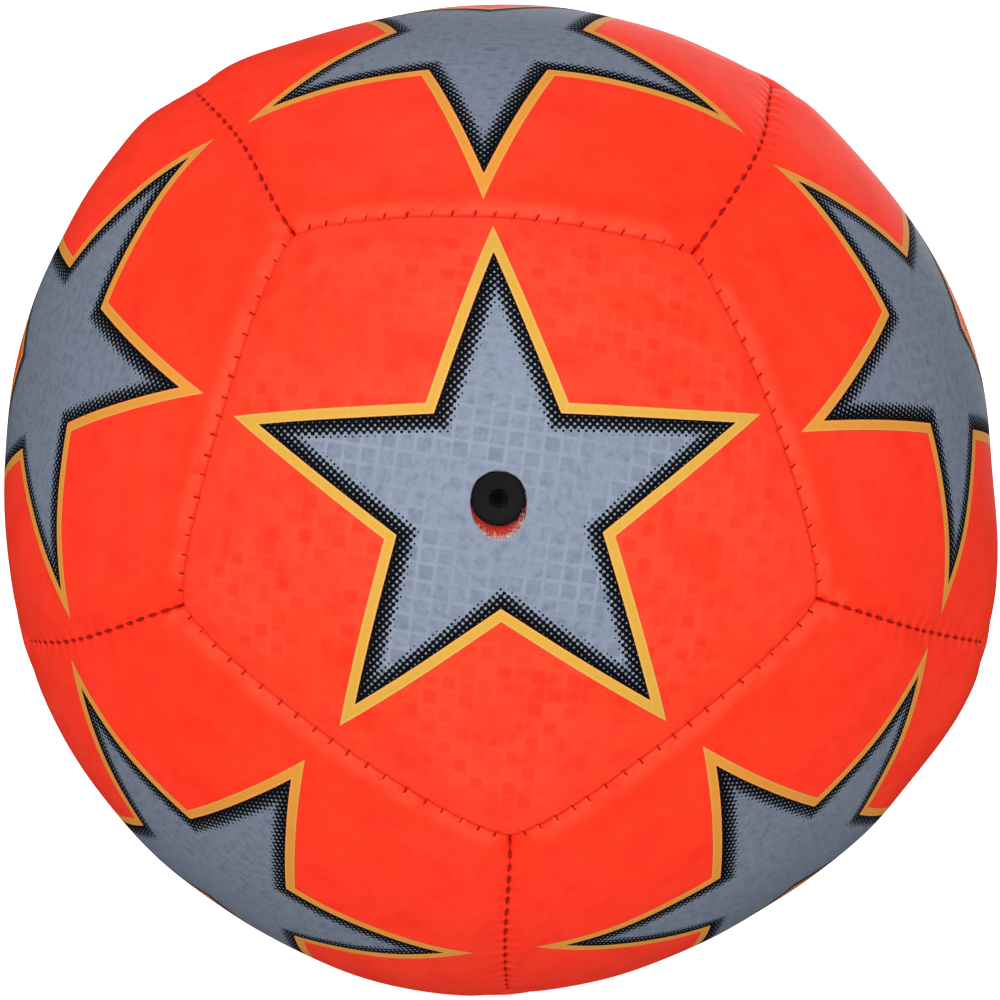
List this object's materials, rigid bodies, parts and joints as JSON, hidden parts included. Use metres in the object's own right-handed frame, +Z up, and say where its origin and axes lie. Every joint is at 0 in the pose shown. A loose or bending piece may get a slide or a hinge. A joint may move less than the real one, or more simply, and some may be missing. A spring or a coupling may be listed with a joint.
{
  "type": "soccer ball",
  "caption": "Machine-stitched soccer ball with a foam-backed pentagon cover, cloth lining, rubber bladder and a needle valve.",
  "frame": {"origin": "centre of the ball", "axes": "-Y out of the inflation valve, +Z up, one corner of the valve panel points to -Z"},
  "size_m": [0.216, 0.2175, 0.2172],
  "materials": {
    "cover_pvc": "satin embossed PVC, printed",
    "foam_sheet": "closed-cell foam sheet",
    "lining_cloth": "plain woven cloth",
    "stitching_thread": "waxed twisted polyester",
    "bladder_rubber": "matte moulded rubber",
    "patch_rubber": "matte rubber sheet",
    "valve_rubber": "satin moulded rubber",
    "plug_rubber": "satin moulded rubber"
  },
  "bodies": {
    "root": {"cover_valve_panel": "cover_pvc", "cover_front_petal_1": "cover_pvc", "cover_front_petal_2": "cover_pvc", "cover_front_petal_3": "cover_pvc", "cover_front_petal_4": "cover_pvc", "cover_front_petal_5": "cover_pvc", "cover_back_petal_1": "cover_pvc", "cover_back_petal_2": "cover_pvc", "cover_back_petal_3": "cover_pvc", "cover_back_petal_4": "cover_pvc", "cover_back_petal_5": "cover_pvc", "cover_back_panel": "cover_pvc", "foam_valve_panel": "foam_sheet", "foam_front_petal_1": "foam_sheet", "foam_front_petal_2": "foam_sheet", "foam_front_petal_3": "foam_sheet", "foam_front_petal_4": "foam_sheet", "foam_front_petal_5": "foam_sheet", "foam_back_petal_1": "foam_sheet", "foam_back_petal_2": "foam_sheet", "foam_back_petal_3": "foam_sheet", "foam_back_petal_4": "foam_sheet", "foam_back_petal_5": "foam_sheet", "foam_back_panel": "foam_sheet", "lining_valve_panel": "lining_cloth", "lining_front_petal_1": "lining_cloth", "lining_front_petal_2": "lining_cloth", "lining_front_petal_3": "lining_cloth", "lining_front_petal_4": "lining_cloth", "lining_front_petal_5": "lining_cloth", "lining_back_petal_1": "lining_cloth", "lining_back_petal_2": "lining_cloth", "lining_back_petal_3": "lining_cloth", "lining_back_petal_4": "lining_cloth", "lining_back_petal_5": "lining_cloth", "lining_back_panel": "lining_cloth", "thread_front_ring": "stitching_thread", "thread_front_petal_1": "stitching_thread", "thread_front_petal_2": "stitching_thread", "thread_front_petal_3": "stitching_thread", "thread_front_petal_4": "stitching_thread", "thread_front_petal_5": "stitching_thread", "thread_closing_seam": "stitching_thread", "thread_back_petal_1": "stitching_thread", "thread_back_petal_2": "stitching_thread", "thread_back_petal_3": "stitching_thread", "thread_back_petal_4": "stitching_thread", "thread_back_petal_5": "stitching_thread", "thread_back_ring": "stitching_thread", "bladder": "bladder_rubber", "valve_patch": "patch_rubber", "valve_body": "valve_rubber", "valve_plug": "plug_rubber"}
  },
  "joints": []
}
